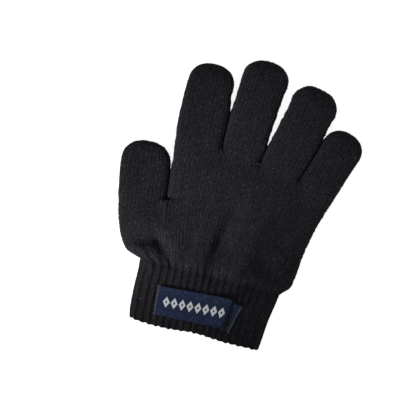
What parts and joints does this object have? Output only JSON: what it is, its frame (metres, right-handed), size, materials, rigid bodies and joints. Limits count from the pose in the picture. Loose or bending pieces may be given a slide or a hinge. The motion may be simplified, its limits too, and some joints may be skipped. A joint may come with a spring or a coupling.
{
  "type": "knitted riding glove",
  "caption": "Knitted grip glove for the right hand, lying palm down: hollow five-finger hand, ribbed elastic cuff and a bare woven label.",
  "frame": {"origin": "centre of the glove's outline, on the surface that it lies on", "axes": "+X towards the little finger, +Y towards the fingertips, +Z out of the back of the hand"},
  "size_m": [0.162, 0.1985, 0.0161],
  "materials": {
    "jersey_knit": "matt stretch jersey knit",
    "rib_knit": "matt elastic rib knit",
    "woven_label": "satin damask tape",
    "grip_dots": "glossy printed silicone"
  },
  "bodies": {
    "root": {"hand": "jersey_knit", "rib_cuff": "rib_knit", "label": "woven_label"}
  },
  "joints": []
}
